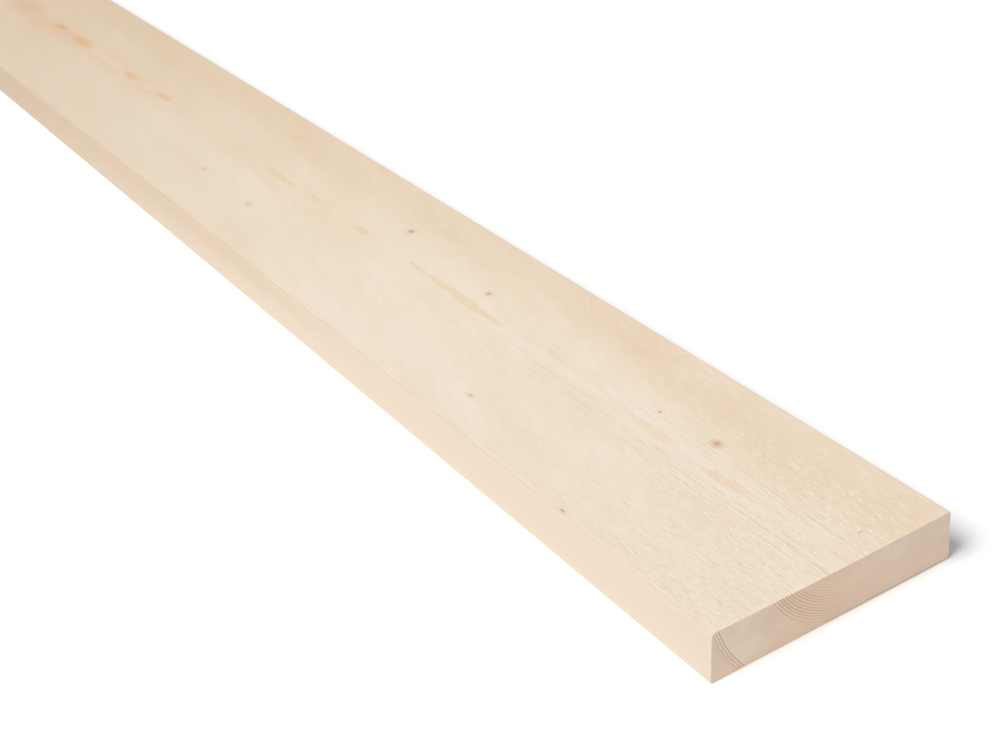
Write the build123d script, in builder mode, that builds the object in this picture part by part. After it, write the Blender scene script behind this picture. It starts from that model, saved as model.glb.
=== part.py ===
from build123d import *
import os

# A planed softwood plank, sawn from one log as one piece. It lies flat on its lower face.
# Millimetres. Length runs along X, width along Y and thickness up Z.
# The origin is the middle of the lower face. The left edge is the one towards -Y.

# Stock size
plank_length = 1800.0
plank_width = 145.0
plank_thickness = 28.0

# Rounding of the four long arrises, which the planer and handling left unequal
left_bottom_arris_radius = 1.0
right_bottom_arris_radius = 2.0
right_top_arris_radius = 1.0
left_top_arris_radius = 4.0

half_length = plank_length / 2
half_width = plank_width / 2

with BuildPart() as plank:
    with BuildSketch(Plane.YZ.offset(-half_length)):
        # Section, anticlockwise from its lower left corner
        with BuildLine():
            FilletPolyline(
                (-half_width, 0),
                (half_width, 0),
                (half_width, plank_thickness),
                (-half_width, plank_thickness),
                radius=[
                    left_bottom_arris_radius,
                    right_bottom_arris_radius,
                    right_top_arris_radius,
                    left_top_arris_radius,
                ],
                close=True,
            )
        make_face()
    # Both ends are sawn square and left crisp
    extrude(amount=plank_length)
plank.part.label = "plank"

os.makedirs("parts", exist_ok=True)
export_step(plank.part, "parts/plank.step")
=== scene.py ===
import math
from types import SimpleNamespace

import bpy
import numpy as np
from mathutils import Matrix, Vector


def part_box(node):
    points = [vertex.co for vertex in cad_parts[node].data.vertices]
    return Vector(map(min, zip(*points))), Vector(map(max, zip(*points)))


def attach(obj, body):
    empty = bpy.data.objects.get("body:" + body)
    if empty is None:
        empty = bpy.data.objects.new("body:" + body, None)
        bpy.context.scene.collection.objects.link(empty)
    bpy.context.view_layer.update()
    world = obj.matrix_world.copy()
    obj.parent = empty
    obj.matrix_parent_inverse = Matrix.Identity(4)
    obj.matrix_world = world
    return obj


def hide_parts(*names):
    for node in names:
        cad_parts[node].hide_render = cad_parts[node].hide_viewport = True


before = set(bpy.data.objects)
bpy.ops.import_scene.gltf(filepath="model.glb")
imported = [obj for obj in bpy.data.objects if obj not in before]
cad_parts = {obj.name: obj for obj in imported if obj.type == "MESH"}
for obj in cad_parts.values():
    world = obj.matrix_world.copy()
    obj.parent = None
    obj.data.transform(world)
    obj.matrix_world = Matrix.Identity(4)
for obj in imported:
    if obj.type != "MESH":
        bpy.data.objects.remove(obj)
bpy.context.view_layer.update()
low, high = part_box("plank")
length, width, thick = high - low
halfWidth = width / 2
frontEnd = high.x  # the sawn end that faces the camera
mm = 0.001
print("frame loaded, plank", round(length, 3), round(width, 3), round(thick, 3))


# Shader maths

class Field:
    # a value on the surface: sums and products of fields add Math nodes to its tree
    def __init__(self, tree, socket=None):
        self.tree = tree
        self.socket = socket

    def node(self, kind, settings, sockets, out=0):
        made = self.tree.nodes.new("ShaderNode" + kind)
        for name, value in settings.items():
            if name == "stops":
                self.setStops(made.color_ramp, value)
            else:
                setattr(made, name, value)
        for name, value in sockets.items():
            if isinstance(value, Field):
                self.tree.links.new(value.socket, made.inputs[name])
            else:
                made.inputs[name].default_value = value
        return Field(self.tree, made.outputs[out])

    def setStops(self, ramp, stops):
        while len(ramp.elements) < len(stops):
            ramp.elements.new(1.0)
        for element, (place, grey) in zip(ramp.elements, stops):
            element.position = place
            element.color = (grey, grey, grey, 1)

    def math(self, operation, *others):
        return self.node("Math", {"operation": operation}, dict(enumerate((self, *others))))

    def __add__(self, other):
        return self.math("ADD", other)

    def __sub__(self, other):
        return self.math("SUBTRACT", other)

    def __rsub__(self, other):
        return self.node("Math", {"operation": "SUBTRACT"}, {0: other, 1: self})

    def __mul__(self, other):
        return self.math("MULTIPLY", other)

    def __truediv__(self, other):
        return self.math("DIVIDE", other)

    def __rtruediv__(self, other):
        return self.node("Math", {"operation": "DIVIDE"}, {0: other, 1: self})

    __radd__ = __add__
    __rmul__ = __mul__

    def step(self, start, end):  # 0 before start, 1 after end, smooth between
        sockets = {"Value": self, "From Min": start, "From Max": end}
        return self.node("MapRange", {"interpolation_type": "SMOOTHSTEP"}, sockets)

    def ramp(self, *stops):
        return self.node("ValToRGB", {"stops": stops}, {"Fac": self})

    def mix(self, first, second):  # colours, by this field
        return self.node("Mix", {"data_type": "RGBA"}, {0: self, 6: first, 7: second}, 2)


def paint(red, green, blue):  # a colour as a screen shows it, 0 to 255, made linear
    shares = np.array((red, green, blue)) / 255
    linear = np.where(shares > 0.04045, ((shares + 0.055) / 1.055) ** 2.4, shares / 12.92)
    return (*linear.tolist(), 1)


# Growth of the log

growth = {
    "pith": (8.3 * mm, 49 * mm),  # across and above the lower face: the log's heart is above the plank
    "pithWander": 0.4 * mm,
    "pithWaves": ((0.9, 0.37), (0.7, 0.31, 0.14)),  # wave lengths of its wander across and up, in metres
    "pithSeeds": (3, 4),
    "lensBlunt": 0.45,  # 0 gives square ends, 0.5 an ellipse, 1 pointed ends
    "lensOutside": -20.0,  # depth in mm where no lens is near
    # flames and pale lenses along the heart's line, where a ring just meets the upper face: tail and tip
    # along the plank, half width, place across at tail and at tip, in mm, and the widest place, from
    # -1 at the tail to 1 at the tip
    "flames": (
        (797, 829, 4.4, 7.0, 9.8, -0.1),
        (720, 768, 4.2, 9.6, 8.0, 0.55),
        (574, 606, 3.0, 9.0, 9.6, 0.2),
        (508, 590, 4.3, 10.0, 9.8, 0.2),
        (488, 518, 2.7, 10.8, 9.6, -0.1),
        (414, 435, 3.6, 9.4, 9.2, 0.4),
        (349, 365, 3.2, 9.8, 9.6, 0.0),
        (280, 338, 3.8, 8.8, 7.6, -0.3),
        (66, 99, 4.2, 8.4, 8.2, 0.5),
        (2, 30, 4.6, 7.0, 6.8, 0.0),
        (-128, -88, 6.4, 7.8, 7.2, 0.4),
        (-180, -150, 4.6, 8.0, 8.0, 0.4),
        (-318, -286, 4.4, 5.0, 5.6, 0.2),
        (-452, -400, 4.0, 8.0, 9.0, 0.4),
        (-560, -534, 3.6, 9.0, 8.4, -0.2),
        (-684, -642, 4.2, 8.0, 8.6, 0.3),
        (-808, -776, 3.6, 8.6, 8.0, 0.0),
    ),
    "lenses": (
        (768, 802, 5.0, 9.5, 9.5, 0.0),
        (596, 722, 4.4, 8.6, 8.4, 0.0),
        (434, 497, 4.4, 9.4, 9.4, 0.0),
        (337, 349, 3.4, 7.6, 7.6, 0.0),
        (32, 76, 5.0, 7.6, 8.0, 0.0),
        (-88, 6, 6.4, 7.6, 7.6, 0.0),
        (-398, -320, 5.0, 8.4, 7.8, 0.0),
        (-532, -456, 5.2, 8.4, 8.2, 0.0),
        (-640, -562, 4.6, 8.6, 8.6, 0.0),
        (-774, -688, 5.0, 8.2, 8.2, 0.0),
    ),
}


def wander(x, lengths, seed):
    # sum of sines of the given wave lengths, each with a random phase, scaled to about 1
    phases = np.random.default_rng(seed).uniform(0, 2 * np.pi, len(lengths))
    return sum(np.sin(2 * np.pi * x / w + p) for w, p in zip(lengths, phases)) / len(lengths) ** 0.5


def pithPlace(x):
    # the heart's line: straight along the log, with a slow wander
    rows = zip(growth["pith"], growth["pithWaves"], growth["pithSeeds"])
    return [place + growth["pithWander"] * wander(x, waves, seed) for place, waves, seed in rows]


def ringRadius(points):
    # distance from the heart's line, across the log
    across, above = pithPlace(points[:, 0])
    return np.hypot(points[:, 1] - across, points[:, 2] - above)


def lensDepth(points, lenses):
    # depth inside the nearest lens, negative outside: with s from -1 at its tail to 1 at its tip and k its
    # widest place, the half width is its own * ((1 + s) / (1 + k))^a * ((1 - s) / (1 - k))^b, where
    # a = blunt * (1 + k) and b = blunt * (1 - k), less a third of the way beyond its ends
    blunt, outside = growth["lensBlunt"], growth["lensOutside"]
    x, y, z = points.T / mm
    depth = np.full(len(points), outside)
    for tail, tip, half, tailSide, tipSide, widest in lenses:
        share = np.clip((2 * x - tail - tip) / (tip - tail), -1, 1)
        rise = ((1 + share) / (1 + widest)) ** (blunt * (1 + widest))
        fall = ((1 - share) / (1 - widest)) ** (blunt * (1 - widest))
        middle = tailSide + (tipSide - tailSide) * (1 + share) / 2
        beyond = np.maximum(np.maximum(tail - x, x - tip), 0) / 3
        depth = np.maximum(depth, half * rise * fall - np.abs(y - middle) - beyond)
    return np.where(z > thick / mm / 2, depth, outside) * mm  # on the upper face only


# Plank

plankShape = {
    "arris": (1.0 * mm, 1.6 * mm, 0.7 * mm, 2.5 * mm),  # left bottom, right bottom, right top, left top
    "arrisWander": 0.12,  # share of a radius
    "arrisWaves": (0.31, 0.13, 0.05),  # wave lengths in metres
    "arrisSeed": 20,  # each corner adds its number
    "contact": -22 * mm,  # the lower face touches the floor from the left edge to here
    "gap": 0.35 * mm,  # its rise at the right, and the width over which most of that comes
    "gapReach": 24 * mm,
    "hollow": 0.54 * mm,  # cup of the upper face
    "leftDrop": 0.4 * mm,  # how much lower the upper face is at the left
    "taper": (1.7 * mm, 0.3 * mm),  # how much each long edge leans in towards the top, left and right
    "rimBreak": 0.3 * mm,  # the saw's ragged arris round each end
    "rimShares": (0.6, 0.2),  # mean inset there and its raggedness, as shares of the break
    "rimWaves": (0.011, 0.0047, 0.0023),
    "rimSeed": 9,
    "rows": 220,
    "crowding": 2.0,  # how much closer the rows stand at the front end
    "faceColumns": 182,
    "edgeColumns": 8,
    "arcColumns": 4,
    "waveDepth": 0.05 * mm,  # hollows left by the planer
    "waveCrest": 1.7,  # about the highest value of their wander
    "waveSlant": 0.4,
    "waves": (0.21, 0.083, 0.047),  # wave lengths in metres, as those of the rim
    "waveSeed": 5,
    "sharpAngle": 30,
    # bake map, in pixels: the near and the far half of each long side, bottom, right, top, left, are strips
    # one above the other, and the two ends stand side by side above them
    "mapSize": 1024,
    "mapColumns": (4, 1020),
    "mapStrips": (
        ((660, 768), (772, 872)),
        ((576, 616), (620, 656)),
        ((4, 264), (268, 468)),
        ((472, 528), (532, 572)),
    ),
    "mapEnds": ((4, 724), (730, 1020)),
    "mapEndRows": (876, 1018),
}


def stations():
    # distance from the front end grows exponentially; the first and last rows are the end faces
    run = np.expm1(np.linspace(0, plankShape["crowding"], plankShape["rows"]))
    inner = frontEnd - plankShape["rimBreak"] - (length - 2 * plankShape["rimBreak"]) * run / run[-1]
    return np.concatenate(([frontEnd], inner, [frontEnd - length]))


def sectionSides(x):
    # outline of the section at each station, anticlockwise: for each side half an arc,
    # a straight run and half an arc, where an arc is centre + radius * (cos, sin)
    signs = np.array(((-1, 0), (1, 0), (1, 1), (-1, 1)))
    sides = []
    for side in range(4):
        outward = math.pi / 2 * (side - 1)
        columns = plankShape["edgeColumns"] if side % 2 else plankShape["faceColumns"]
        arcs = []
        for corner, turn in ((side, -math.pi / 4), ((side + 1) % 4, math.pi / 4)):
            uneven = wander(x, plankShape["arrisWaves"], corner + plankShape["arrisSeed"])
            radius = plankShape["arris"][corner] * (1 + plankShape["arrisWander"] * uneven)
            inset = np.stack((-signs[corner][0] * radius, (1 - 2 * signs[corner][1]) * radius), -1)
            centre = signs[corner] * (halfWidth, thick) + inset
            angles = outward + np.linspace(min(turn, 0), max(turn, 0), plankShape["arcColumns"] + 1)
            ray = np.stack((np.cos(angles), np.sin(angles)), -1)
            arcs.append((angles, centre[:, None] + radius[:, None, None] * ray))
        (firstAngles, first), (lastAngles, last) = arcs
        share = np.linspace(0, 1, columns + 1)[1:-1, None]
        run = first[:, -1:] * (1 - share) + last[:, :1] * share
        angles = np.concatenate((firstAngles, np.full(columns - 1, outward), lastAngles))
        normal = np.stack((np.cos(angles), np.sin(angles)), -1)
        sides.append((np.concatenate((first, run, last), 1), normal))
    return sides


def endGrid(sides, station):
    # points inside an end face: each column's y runs between lower and upper outline, each row's z
    # between left and right outline
    bottom, right, top, left = (outline[station] for outline, _ in sides)
    across = np.linspace(0, 1, len(bottom))[None, :]
    up = np.linspace(0, 1, len(left))[:, None]
    y = bottom[None, :, 0] * (1 - up) + top[None, ::-1, 0] * up
    z = left[::-1, 1][:, None] * (1 - across) + right[:, 1][:, None] * across
    return np.stack((y, z), -1)


def cupped(places):
    # the board has warped: the lower face rises by gap * (1 - exp(-(y - contact) / reach)), the upper
    # face sinks by leftDrop * (1 - u) + hollow * 4u(1 - u), with u the share of the width; what is
    # between them follows, and the long edges lean in towards the top
    x, y, z = places.T
    share = y / width + 0.5
    beyond = np.maximum(y - plankShape["contact"], 0)
    bottom = plankShape["gap"] * -np.expm1(-beyond / plankShape["gapReach"])
    top = thick - plankShape["leftDrop"] * (1 - share) - plankShape["hollow"] * 4 * share * (1 - share)
    taper = np.where(y < 0, *plankShape["taper"]) * y / halfWidth * z / thick
    return np.stack((x, y - taper, bottom + z / thick * (top - bottom)), -1)


def quads(ids):
    # the four corners of each cell in a grid of point numbers
    return np.stack((ids[:-1, :-1], ids[1:, :-1], ids[1:, 1:], ids[:-1, 1:]), -1).reshape(-1, 4)


def onMap(columns, rows, right, up):
    # corners of a grid's faces on the bake map, from the shares to the right and up of each grid point
    span = np.array((columns, rows)) / plankShape["mapSize"]
    places = span[:, 0] + np.stack((right, up), -1) * (span[:, 1] - span[:, 0])
    return places.reshape(-1, 2)[quads(np.arange(right.size).reshape(right.shape))]


def sideOnMap(x, outline, strips):
    # each half of the length fills a strip of its own, and the outline's run goes across the strip
    run = np.linalg.norm(np.diff(outline[0], axis=0), axis=1).cumsum()
    up = np.concatenate(([0], run)) / run[-1]
    fold = np.abs(x - frontEnd + length / 2).argmin()
    halves = []
    for half, strip in zip((x[:fold + 1], x[fold:]), strips):
        right = (half - half[-1]) / (half[0] - half[-1])
        shares = np.broadcast_arrays(right[:, None], up[None])
        halves.append(onMap(plankShape["mapColumns"], strip, *shares))
    return np.concatenate(halves)


def makePlank():
    # the four long sides carried along the stations, each point moved in along its normal by the planer's
    # waves and, round the ends, by the saw's break; then the two end faces
    x = stations()
    sides = sectionSides(x)
    across = sides[0][0].shape[1]  # points along the wide sides and along the edges
    up = sides[1][0].shape[1]
    lattice = np.arange(len(x) * up * across).reshape(len(x), up, across)
    sideIds = (lattice[:, 0], lattice[:, :, -1], lattice[:, -1, ::-1], lattice[:, ::-1, 0])
    mean, spread = plankShape["rimShares"]
    points, ids, faces, mapped = [], [], [], []
    for (outline, normal), ownIds, strips in zip(sides, sideIds, plankShape["mapStrips"]):
        mapped.append(sideOnMap(x, outline, strips))
        spot = np.concatenate((np.broadcast_to(x[:, None, None], (*outline.shape[:2], 1)), outline), -1)
        slanted = spot[..., 0] + plankShape["waveSlant"] * spot[..., 1]
        wave = wander(slanted, plankShape["waves"], plankShape["waveSeed"])
        inset = plankShape["waveDepth"] * (plankShape["waveCrest"] - wave) * (normal[:, 1] > 0.5)
        for end in (0, -1):
            ragged = wander(outline[end].sum(-1), plankShape["rimWaves"], plankShape["rimSeed"])
            inset[end] = inset[end] + plankShape["rimBreak"] * (mean + spread * ragged)
        spot[..., 1:] -= inset[..., None] * normal
        points.append(spot.reshape(-1, 3))
        ids.append(ownIds.ravel())
        faces.append(quads(ownIds))
    for station, turn, columns in zip((0, -1), (1, -1), plankShape["mapEnds"]):
        flat = endGrid(sides, station)
        spot = np.concatenate((np.full((*flat.shape[:2], 1), x[station]), flat), -1)
        points.append(spot.reshape(-1, 3))
        ids.append(lattice[station].ravel())
        faces.append(quads(lattice[station])[:, ::-turn])
        shares = np.moveaxis((flat - (-halfWidth, 0)) / (width, thick), -1, 0)
        mapped.append(onMap(columns, plankShape["mapEndRows"], *shares)[:, ::-turn])

    # weld: each lattice place keeps its first point, so the long sides set the end faces' outline
    kept, first = np.unique(np.concatenate(ids), return_index=True)
    solid = np.concatenate(points)[first]
    corners = np.searchsorted(kept, np.concatenate(faces))

    mesh = bpy.data.meshes.new("plankWood")
    warped = cupped(solid)
    mesh.from_pydata(warped, [], corners)
    bakeMap = mesh.uv_layers.new(name="OFBake")
    bakeMap.uv.foreach_set("vector", np.concatenate(mapped).ravel().astype(np.float32))
    mesh.shade_smooth()
    mesh.set_sharp_from_angle(angle=math.radians(plankShape["sharpAngle"]))
    # how far round the upper left arris: 0 on the upper face, 1 on the left edge
    leftArris = np.clip((solid[:, 1:] * (-1, 1) - (halfWidth, thick)) / plankShape["arris"][3] + 1, 0, 1)
    leftTurn = np.arctan2(leftArris[:, 0], leftArris[:, 1] + 1e-6) * 2 / np.pi
    values = {
        "ringRadius": ringRadius(warped),
        "flameDepth": lensDepth(solid, growth["flames"]),
        "lensDepth": lensDepth(solid, growth["lenses"]),
        "height": solid[:, 2],  # before the warp
        "leftTurn": leftTurn,
    }
    for name, own in values.items():
        mesh.attributes.new(name, "FLOAT", "POINT").data.foreach_set("value", own.astype(np.float32))
    piece = bpy.data.objects.new("plankWood", mesh)
    bpy.context.scene.collection.objects.link(piece)
    print("plank mesh:", len(solid), "points,", 2 * len(corners), "triangles")
    return piece


# Planed softwood

woodLook = {
    "early": paint(241, 227, 208),
    "late": paint(205, 181, 147),
    "yellow": paint(232, 212, 181),
    "pink": paint(235, 214, 197),
    "pale": paint(243, 232, 221),
    "fleck": paint(247, 238, 219),
    "streak": paint(217, 193, 159),
    "flame": paint(228, 193, 139),
    "flameFar": paint(223, 175, 129),
    "warm": paint(231, 209, 181),
    # painted shade: the upper face darker towards the back, for light that falls off with distance
    "far": paint(207, 183, 154),
    # painted shade: the left edge and its arris darker than the upper face, offsetting the key lamp's
    # stronger light on them, and darker towards the back
    "side": paint(212, 196, 177),
    "sideHigh": paint(208, 188, 163),
    "sideFar": paint(188, 166, 144),
    "arris": paint(209, 192, 171),
    "arrisFar": paint(199, 178, 156),
    "margin": paint(237, 215, 190),
    "thread": paint(232, 219, 202),
    "arrisLine": paint(187, 162, 132),
    "earlyEnd": paint(225, 204, 185),
    "lateEnd": paint(160, 115, 94),
    "brownEnd": paint(222, 195, 171),
    "greenEnd": paint(218, 200, 178),
    "pinkEnd": paint(219, 194, 176),
    "duskEnd": paint(215, 192, 172),
    # painted shadow of the gap under the end's foot, and a rim of painted reflected light below it
    "footShade": paint(124, 94, 68),
    "soleLight": paint(232, 202, 164),
    "roughness": 0.68,
    "specular": 0.3,
    "bumpStrength": 0.25,
    "bumpDepth": 0.2 * mm,
    # noises drawn out along the grain: sizes in mm along and across it, then detail and slant
    "grain": {
        "ragged": (26, 1.8),
        "mottle": (18, 5, 3, -0.35),
        "dapple": (12, 2.2, 2, -0.15),
        "broad": (110, 30, 2, -0.2),
        "fibre": (6, 0.75, 2),
        "dash": (3.6, 0.8, 1),
        "stroke": (20, 1.3),
        "smear": (40, 5),
        "ringDrift": (150, 14),
        "faceDrift": (90, 6),
        "lineDrift": (90, 8),
        "greenPatch": (20, 16, 1),
        "pinkPatch": (31, 21, 1),
        "duskPatch": (25, 9),
    },
    # growth rings, and how far the noises move them
    "ringWidth": 1.45 * mm,
    "ringPhase": 0.62,
    "tightRing": 82 * mm,  # outside this radius the rings are half as wide
    "ringDriftBy": 0.9 * mm,
    "ringFrayBy": 0.4 * mm,
    "faceDriftBy": 1.8 * mm,
    "unevenRun": 4 * mm,  # on the ends their widths differ, over about this length
    "unevenRadii": (50 * mm, 70 * mm),  # between these that fades out
    # fine lines on the left edge
    "lineWidth": 1.5 * mm,
    "lineDriftBy": 1.8 * mm,
    # pairs between which a look starts or ends: depths behind an end and below the top, places across the
    # plank from its middle, distances from the heart's line, and heights
    "endSkin": (0.25 * mm, 0.1 * mm),
    "topSkin": (6 * mm, 2 * mm),
    "warmPlaces": (14 * mm, 56 * mm),
    "warmShift": 24 * mm,  # near the ends it starts farther to the left
    "fleckPlaces": (0, 30 * mm),
    "marginPlaces": (-69.5 * mm, -65 * mm),
    "calmRidge": (3 * mm, 8 * mm),
    "heartReach": (6 * mm, 24 * mm),
    "threadHeights": (8 * mm, 20 * mm),
    "sideHeights": (8 * mm, 24 * mm),
    "endLineHeights": (4 * mm, 24 * mm),
    "endLineLift": 20 * mm,  # at the left the rings are as strong low down
    "footShadeHeights": (0.7 * mm, 1.2 * mm),
    "soleLightHeights": (0.35 * mm, 0.65 * mm),
    "flameFade": 3 * mm,  # depth inside a flame or lens that counts as 1
    "knotDepth": 60 * mm,  # half size of a knot downwards
    # strengths across the plank, from 0 at its left edge to 1 at its right
    "linesAcross": (
        (0.0, 0.02), (0.34, 0.05), (0.4, 0.5), (0.44, 1.0), (0.55, 1.0), (0.6, 0.7), (0.66, 0.3),
        (0.75, 0.05), (1.0, 0.0),
    ),
    "linesAcrossNear": (
        (0.0, 0.2), (0.25, 0.25), (0.36, 0.5), (0.42, 0.9), (0.6, 0.9), (0.72, 0.4), (1.0, 0.1),
    ),
    "fineAcross": ((0.0, 0.8), (0.08, 1.0), (0.78, 1.0), (0.88, 0.4), (1.0, 0.3)),
    "brownAcross": ((0.2, 0.0), (0.36, 0.8), (0.56, 0.8), (0.66, 0.3), (0.75, 0.0)),
    "endLinesAcross": (
        (0.0, 1.0), (0.44, 1.0), (0.52, 0.8), (0.58, 0.5), (0.66, 0.22), (0.72, 0.05), (1.0, 0.03),
    ),
    # strength of the rings on the upper face towards the ends, where crispness is 1
    "linesByCrispness": ((0, 0.1), (0.78, 0.1), (0.83, 0.18), (0.87, 0.5), (0.92, 0.6), (1, 0.8)),
    # strength of the rings on the ends, between two radii
    "zoneRadii": (20 * mm, 100 * mm),
    "zones": (
        (0.0, 0.5), (0.1, 0.42), (0.19, 0.35), (0.21, 0.85), (0.3, 1.0), (0.36, 0.95), (0.385, 0.35),
        (0.5, 0.2), (0.54, 0.07), (0.715, 0.07), (0.725, 1.0), (0.775, 1.0), (0.79, 0.5),
    ),
}

# Branch knots and blotches on the upper face: place (along, across) and half sizes (along, across)
# in mm, colour, strength of the core and of the halo
knots = (
    ((782.8, 25.8), (2.6, 2.2), paint(197, 147, 105), 0.60, 0.34),
    ((739.1, 22.5), (1.5, 1.2), paint(209, 147, 106), 0.80, 0.12),
    ((562.5, 25.1), (2.8, 2.2), paint(206, 146, 118), 0.58, 0.14),
    ((452.4, 33.2), (3.0, 2.8), paint(174, 142, 100), 0.62, 0.12),
    ((657.3, -45.9), (3.6, 1.6), paint(205, 170, 133), 0.50, 0.12),
    ((333.1, -30.1), (3.2, 2.4), paint(196, 172, 145), 0.45, 0.10),
    ((249.7, -27.6), (3.2, 2.4), paint(198, 174, 145), 0.45, 0.10),
    ((780.8, -68.4), (2.6, 0.9), paint(160, 140, 122), 0.64, 0.08),
    ((884.9, 29.4), (0.6, 1.9), paint(196, 141, 102), 0.52, 0.08),
    ((647.0, 15.0), (5.0, 1.1), paint(227, 192, 155), 0.40, 0.08),
    ((679.0, 53.0), (10.0, 5.0), paint(226, 197, 166), 0.35, 0.18),
    ((249.8, 50.9), (9.0, 4.0), paint(225, 192, 157), 0.45, 0.20),
    ((-161.0, 8.2), (7.0, 2.6), paint(186, 156, 112), 0.40, 0.12),
    ((-140.0, 7.0), (24.0, 5.0), paint(222, 174, 130), 0.06, 0.25),
    ((-252.0, 5.0), (20.0, 7.0), paint(214, 168, 128), 0.18, 0.32),
    ((-194.0, -3.0), (22.0, 5.0), paint(226, 182, 138), 0.08, 0.26),
)


def cloud(spot, along, across, detail=2.0, slant=0.0):  # noise about 0
    sizes = (along * mm, across * mm, across * mm)
    sockets = {"Vector": spot, "Rotation": (0, 0, slant), "Scale": sizes}
    placed = spot.node("Mapping", {"vector_type": "TEXTURE"}, sockets)
    return spot.node("TexNoise", {}, {"Vector": placed, "Scale": 1.0, "Detail": detail}) - 0.5


def ringNumber(radius):
    # radius over ring width, and twice as fast outside tightRing
    tight = (radius - woodLook["tightRing"]).math("MAXIMUM", 0)
    return (radius + tight) / woodLook["ringWidth"] + woodLook["ringPhase"]


def ownStrength(number, least):  # a random strength for each whole number, from least to 1
    drawn = number.node("TexWhiteNoise", {"noise_dimensions": "1D"}, {"W": number.math("FLOOR")})
    return least + (1 - least) * drawn


def woodFields(tree):
    # what the colours are worked out from: places on the plank, its faces, the grain's noises and the rings
    start = Field(tree)
    spot = start.node("TexCoord", {}, {}, "Object")
    x, y, z = (start.node("SeparateXYZ", {}, {"Vector": spot}, axis) for axis in "XYZ")
    wood = SimpleNamespace(spot=spot, y=y, z=z)
    for name in ("ringRadius", "flameDepth", "lensDepth", "leftTurn", "height"):
        setattr(wood, name, start.node("Attribute", {"attribute_name": name}, {}, "Fac"))
    for name, sizes in woodLook["grain"].items():
        setattr(wood, name, cloud(spot, *sizes))

    wood.along = x / length + 0.5
    wood.across = y / width + 0.5
    wood.ridge = (y - growth["pith"][0]).math("ABSOLUTE")  # distance across from the heart's line
    # crispness is 1 at both ends and least a little behind the middle
    wood.crisp = x.math("MAXIMUM", (x + length / 6) * -1.5) / length + 0.5
    wood.nearEnd = wood.crisp.step(0.88, 0.985)
    wood.nearPart = wood.crisp.step(0.5, 0.66)
    wood.endFace = x.math("ABSOLUTE").step(*(frontEnd - depth for depth in woodLook["endSkin"]))
    wood.topFace = z.step(*(thick - depth for depth in woodLook["topSkin"]))
    wood.topFace = wood.topFace * (1 - wood.leftTurn.step(0.2, 0.8))

    # late wood darkens slowly outwards and stops abruptly; along the faces the rings wander more
    wood.endRadius = wood.ringRadius + wood.ringDrift * woodLook["ringDriftBy"]
    wood.endRadius = wood.endRadius + wood.ragged * woodLook["ringFrayBy"]
    faceNumber = ringNumber(wood.endRadius + wood.faceDrift * woodLook["faceDriftBy"])
    wood.faceRing = faceNumber.math("FRACT")
    wood.late = wood.faceRing.ramp((0, 0), (0.45, 0.05), (0.78, 0.75), (0.9, 1), (1, 0))
    wood.late = wood.late * ownStrength(faceNumber, 0.4)
    return wood


def faceColour(wood):
    # tints in slanting patches
    tint = 0.25 + 0.06 * wood.nearEnd + wood.broad * 1.2
    colour = tint.mix(woodLook["early"], woodLook["yellow"])
    warmFrom, warmTo = woodLook["warmPlaces"]
    warm = wood.y.step(warmFrom - woodLook["warmShift"] * wood.nearEnd, warmTo)
    warm = warm * wood.topFace * (0.8 + wood.broad + wood.mottle * 0.8)
    colour = warm.mix(colour, woodLook["warm"])
    flecked = wood.crisp.step(0.7, 0.88) * (0.26 + 0.06 * wood.y.step(*woodLook["fleckPlaces"]))
    for patch, strength in ((wood.mottle, 0.15 + 0.12 * wood.nearPart), (wood.dapple, 0.05 + flecked)):
        colour = ((0 - patch).step(0.0, 0.25) * strength).mix(colour, woodLook["pink"])
        colour = (patch.step(0.0, 0.25) * strength).mix(colour, woodLook["pale"])

    # rings broken into strokes, and a pale smear along the heart's line
    near = wood.across.ramp(*woodLook["linesAcrossNear"])
    band = wood.nearEnd * near + (1 - wood.nearEnd) * wood.across.ramp(*woodLook["linesAcross"])
    lines = band * wood.crisp.ramp(*woodLook["linesByCrispness"])
    lines = lines * (0.35 + 0.65 * wood.ridge.step(*woodLook["calmRidge"]))
    lines = lines * wood.topFace + 0.3 * (1 - wood.topFace)
    colour = (wood.late * lines * wood.stroke.step(-0.16, 0.14)).mix(colour, woodLook["late"])
    gleam = wood.faceRing.ramp((0, 1), (0.3, 0.2), (0.5, 0))
    gleam = gleam * lines * (0 - wood.stroke).step(-0.05, 0.2)
    colour = (gleam * 0.45).mix(colour, woodLook["pale"])
    smear = (wood.smear - wood.ridge * 8 + 0.05).step(0.0, 0.15)
    smear = smear * wood.crisp.step(0.75, 0.9) * wood.topFace
    colour = (smear * 0.15).mix(colour, woodLook["pale"])

    # a light margin at the left, and painted shade towards the back, standing for light that falls off with
    # distance
    margin = (1 - wood.y.step(*woodLook["marginPlaces"])) * (1 - wood.along.step(0.76, 0.88))
    margin = margin * wood.along.step(0.5, 0.66)
    colour = (margin * 0.85).mix(colour, woodLook["margin"])
    farShade = (1 - wood.along.step(0.26, 0.84)) * (0.34 + 0.3 * wood.along.step(0.05, 0.3))
    colour = farShade.mix(colour, woodLook["far"])
    heart = (1 - wood.ridge.step(*woodLook["heartReach"])) * (1 - wood.along.step(0.68, 0.8)) * wood.topFace
    colour = (heart * 0.12).mix(colour, woodLook["flameFar"])

    # fine fibres and flecks near the ends
    fine = (0.03 + 0.97 * wood.nearEnd) * wood.topFace * wood.across.ramp(*woodLook["fineAcross"])
    colour = (wood.fibre.step(0.0, 0.25) * fine * 0.52).mix(colour, woodLook["streak"])
    return (wood.dash.step(0.1, 0.25) * fine).mix(colour, woodLook["fleck"])


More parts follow.
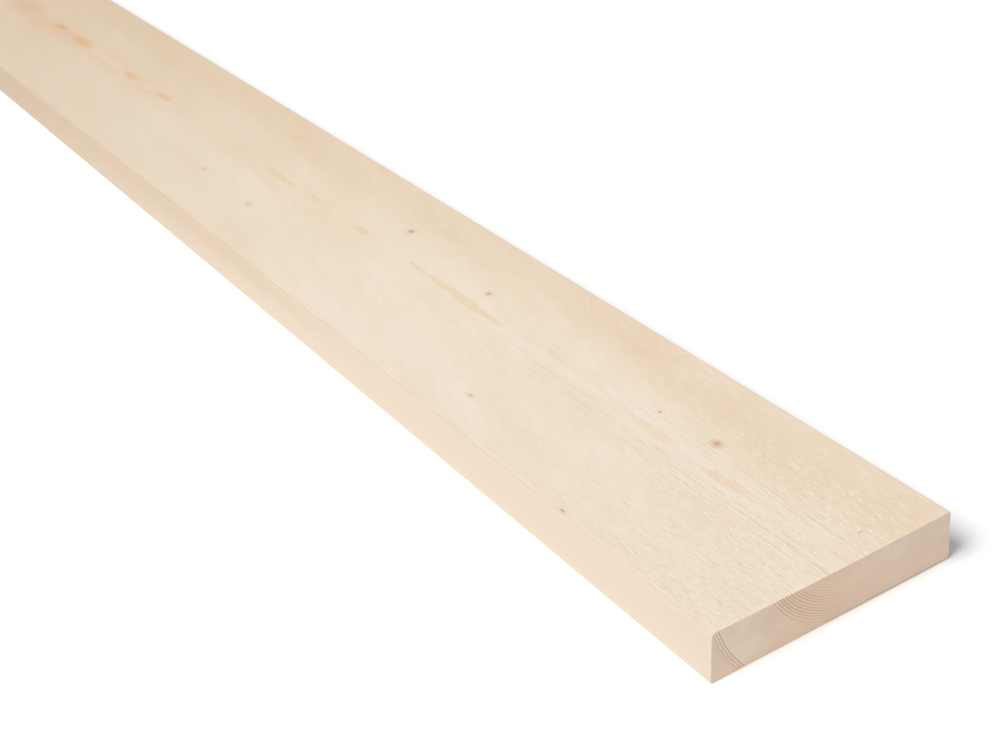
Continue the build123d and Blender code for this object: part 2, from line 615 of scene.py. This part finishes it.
def withFlames(wood, colour):
    # depth in flames and lenses made ragged, and softer away from the ends: a thin broken outline and a pale
    # inside for the lenses, then the flames
    frayed = (wood.stroke * 2.0 + wood.fibre * 0.8) * (0.5 + 0.5 * wood.nearPart)
    lensIn = wood.lensDepth / woodLook["flameFade"] + frayed * 0.6
    flameIn = wood.flameDepth / woodLook["flameFade"] + frayed
    soft = 1 - wood.nearPart
    tone = wood.nearPart.mix(woodLook["flameFar"], woodLook["flame"])
    outline = 1 - lensIn.math("ABSOLUTE").step(0.0, 0.25 + 1.5 * soft)
    outline = outline * (0.25 + 0.06 * soft) * wood.ragged.step(-0.15, 0.25)
    colour = outline.mix(colour, tone)
    pale = lensIn.step(-0.5, 1.6 + soft) * (0.1 + 0.26 * wood.along.step(0.8, 0.88))
    colour = pale.mix(colour, woodLook["pale"])
    inside = flameIn.step(0 - 0.9 * soft, 0.6 + 0.9 * soft)
    inside = inside * (0.36 + 0.3 * soft - 0.11 * wood.crisp.step(0.84, 0.9))
    return inside.mix(colour, tone)


def withLeftEdge(wood, colour):
    # the edge has darker tones round to the arris, painted shade that offsets the key lamp's stronger light
    # there, darker still towards the back for light that falls off, and near the ends the fine lines of
    # tight rings
    upper = wood.z.step(*woodLook["sideHeights"]) * (1 - wood.along.step(0.7, 0.86))
    side = upper.mix(woodLook["side"], woodLook["sideHigh"])
    side = (1 - wood.along.step(0.33, 0.83)).mix(side, woodLook["sideFar"])
    # painted shade on the arris, where the key lamp would put a highlight, darker towards the back
    arris = wood.along.step(0.6, 0.86).mix(woodLook["arrisFar"], woodLook["arris"])
    colour = wood.leftTurn.step(0.0, 0.4).mix(colour, arris)
    colour = wood.leftTurn.step(0.5, 1.0).mix(colour, side)
    number = (wood.z + wood.y + wood.lineDrift * woodLook["lineDriftBy"]) / woodLook["lineWidth"]
    thread = number.math("FRACT").ramp((0, 0), (0.5, 1), (1, 0)) - 0.5
    thread = thread * ownStrength(number, 0.15) * (0.85 + wood.stroke * 1.5)
    threads = (0.26 + 0.5 * wood.z.step(*woodLook["threadHeights"])) * wood.crisp.step(0.88, 0.98)
    threads = wood.leftTurn.step(0.05, 0.4) * threads
    colour = (thread.step(0.0, 0.25) * threads * 0.8).mix(colour, woodLook["arrisLine"])
    return ((0 - thread).step(0.0, 0.25) * threads * 0.9).mix(colour, woodLook["thread"])


def endColour(wood):
    # tinted patches, and darker towards the right
    across = wood.across
    colour = (wood.greenPatch.step(-0.04, 0.12) * 0.9).mix(woodLook["earlyEnd"], woodLook["greenEnd"])
    colour = (wood.pinkPatch.step(-0.04, 0.12) * 0.8).mix(colour, woodLook["pinkEnd"])
    colour = across.ramp(*woodLook["brownAcross"]).mix(colour, woodLook["brownEnd"])
    dusk = across.step(0.6, 0.9) * (0.75 + wood.duskPatch * 1.2)
    colour = dusk.mix(colour, woodLook["duskEnd"])

    # rings of uneven width in bands of their own strength, weaker lower down and to the right
    nearest, farthest = woodLook["zoneRadii"]
    zone = ((wood.endRadius - nearest) / (farthest - nearest)).ramp(*woodLook["zones"])
    lifted = wood.z + woodLook["endLineLift"] * (1 - across.step(0.15, 0.25))
    fade = across.ramp(*woodLook["endLinesAcross"])
    fade = fade * (0.6 + 0.4 * lifted.step(*woodLook["endLineHeights"]))
    sockets = {"W": wood.ringRadius / woodLook["unevenRun"], "Scale": 1.0, "Detail": 0.0}
    uneven = across.node("TexNoise", {"noise_dimensions": "1D"}, sockets)
    uneven = uneven * 0.7 * (1 - wood.ringRadius.step(*woodLook["unevenRadii"]))
    number = ringNumber(wood.endRadius) + uneven
    late = number.math("FRACT").ramp((0, 0), (0.5, 0.05), (0.8, 0.75), (0.9, 1), (1, 0))
    late = late * ownStrength(number, 0.6) * (1.0 + wood.stroke)
    colour = (late * zone * fade).mix(colour, woodLook["lateEnd"])

    # the foot: a thin brown line of painted shadow at the right, for the shadow of the gap beneath, above a
    # light rim of painted reflected light
    footShade = (1 - wood.height.step(*woodLook["footShadeHeights"])) * across.step(0.42, 0.6)
    colour = (footShade * 0.4).mix(colour, woodLook["footShade"])
    soleLight = 1 - wood.height.step(*woodLook["soleLightHeights"])
    return (soleLight * 0.85).mix(colour, woodLook["soleLight"])


def withKnots(wood, colour):
    # ragged distance from the knot's middle in half sizes: a soft halo, then the core
    depth = woodLook["knotDepth"]
    for (knotX, knotY), (halfX, halfY), tone, core, halo in knots:
        scale = (1 / (halfX * mm), 1 / (halfY * mm), 1 / depth)
        place = (-knotX / halfX, -knotY / halfY, -thick / depth)
        apart = colour.node("Mapping", {}, {"Vector": wood.spot, "Scale": scale, "Location": place})
        reach = apart.node("VectorMath", {"operation": "LENGTH"}, {0: apart}, "Value") + wood.ragged * 0.9
        colour = ((1 - reach.step(0.6, 2.8)) * halo).mix(colour, tone)
        colour = ((1 - reach.step(0.3, 1.05)) * core).mix(colour, tone)
    return colour


def planedSoftwood():
    material = bpy.data.materials.new("planedSoftwood")
    material.use_nodes = True
    tree = material.node_tree
    shader = tree.nodes["Principled BSDF"]
    wood = woodFields(tree)
    colour = withFlames(wood, faceColour(wood))
    colour = withLeftEdge(wood, colour)
    colour = wood.endFace.mix(colour, endColour(wood))
    colour = withKnots(wood, colour)
    roughness = woodLook["roughness"] + wood.fibre * 0.2
    relief = wood.fibre - wood.late * 0.5
    sockets = {"Strength": woodLook["bumpStrength"], "Distance": woodLook["bumpDepth"], "Height": relief}
    bump = relief.node("Bump", {}, sockets, "Normal")
    for name, field in (("Base Color", colour), ("Roughness", roughness), ("Normal", bump)):
        tree.links.new(field.socket, shader.inputs[name])
    shader.inputs["Specular IOR Level"].default_value = woodLook["specular"]
    print("planed softwood:", len(tree.nodes), "nodes")
    return material


# Studio

studio = {
    "cameraFromCorner": (3.1794, -2.3944, 3.4809),  # plank widths from the front end's lower left corner
    "yaw": -29.223,  # degrees, as the next two
    "pitch": 30.357,
    "roll": -6.18,
    "lens": 60.785,
    "floorSize": 24.0,
    "floorColour": paint(253, 253, 253),
    "floorGlow": 0.09,
    "worldLight": 0.18,
    "lamps": (
        # name, bearing and height in degrees as seen from the aim, distance, size, power
        ("key", -88, 52, 28.0, 16.0, 8400.0),
        ("fill", -12, 12, 6.0, 2.0, 76.0),
    ),
    "lampAim": (0.6, 0.0, 0.0),
}


def aimed(place, forward, roll=0.0):
    # frame whose -Z looks along forward and whose Y is nearest to up, turned by roll about the view
    forward = np.array(forward) / np.linalg.norm(forward)
    right = np.cross(forward, (0, 0, 1))
    right /= np.linalg.norm(right)
    up = np.cross(right, forward)
    turned = math.cos(roll) * right + math.sin(roll) * up
    lifted = math.cos(roll) * up - math.sin(roll) * right
    turn = np.stack((turned, lifted, -forward), 1)
    return Matrix.Translation(place) @ Matrix(turn.tolist()).to_4x4()


def makeCamera():
    camera = bpy.data.objects.new("camera", bpy.data.cameras.new("camera"))
    camera.data.lens = studio["lens"]
    camera.data.sensor_fit = "HORIZONTAL"
    camera.data.sensor_width = 36
    camera.data.clip_start = 0.01
    yaw, pitch, roll = (math.radians(studio[name]) for name in ("yaw", "pitch", "roll"))
    forward = (-math.cos(yaw) * math.cos(pitch), -math.sin(yaw) * math.cos(pitch), -math.sin(pitch))
    place = np.array((frontEnd, -halfWidth, 0)) + width * np.array(studio["cameraFromCorner"])
    camera.matrix_world = aimed(place.tolist(), forward, roll)
    bpy.context.scene.collection.objects.link(camera)
    bpy.context.scene.camera = camera


def makeLamps():
    for name, bearing, height, away, size, power in studio["lamps"]:
        lamp = bpy.data.lights.new(name, "AREA")
        lamp.size = size
        lamp.energy = power
        bearing, height = math.radians(bearing), math.radians(height)
        flat = math.cos(height)
        toLamp = np.array((flat * math.cos(bearing), flat * math.sin(bearing), math.sin(height)))
        holder = bpy.data.objects.new(name, lamp)
        holder.matrix_world = aimed((studio["lampAim"] + away * toLamp).tolist(), -toLamp)
        bpy.context.scene.collection.objects.link(holder)


def seenRay(tree):
    # 1 for rays that show the background: from the camera, by reflection or through glass
    start = Field(tree)
    names = ("Is Camera Ray", "Is Glossy Ray", "Is Transmission Ray")
    eye, gloss, glass = (start.node("LightPath", {}, {}, name) for name in names)
    return eye.math("MAXIMUM", gloss.math("MAXIMUM", glass))


def makeFloor():
    half = studio["floorSize"] / 2
    mesh = bpy.data.meshes.new("floor")
    corners = [(-half, -half, 0), (half, -half, 0), (half, half, 0), (-half, half, 0)]
    mesh.from_pydata(corners, [], [(0, 1, 2, 3)])
    floor = bpy.data.objects.new("floor", mesh)
    material = bpy.data.materials.new("paleFloor")
    material.use_nodes = True
    tree = material.node_tree
    shader = tree.nodes["Principled BSDF"]
    shader.inputs["Base Color"].default_value = studio["floorColour"]
    shader.inputs["Roughness"].default_value = 0.9
    shader.inputs["Specular IOR Level"].default_value = 0.0
    shader.inputs["Emission Strength"].default_value = studio["floorGlow"]
    white = seenRay(tree).mix((0, 0, 0, 1), (1, 1, 1, 1))
    tree.links.new(white.socket, shader.inputs["Emission Color"])
    mesh.materials.append(material)
    bpy.context.scene.collection.objects.link(floor)


def makeWorld():
    world = bpy.data.worlds.new("softLight")
    bpy.context.scene.world = world
    world.use_nodes = True
    tree = world.node_tree
    shader = tree.nodes["Background"]
    light = studio["worldLight"]
    tone = seenRay(tree).mix((light, light, light, 1), (1, 1, 1, 1))
    tree.links.new(tone.socket, shader.inputs["Color"])


plank = makePlank()
plank.data.materials.append(planedSoftwood())
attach(plank, "root")
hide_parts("plank")
makeCamera()
makeLamps()
makeFloor()
makeWorld()
bpy.context.scene.view_settings.view_transform = "Standard"
print("studio ready")
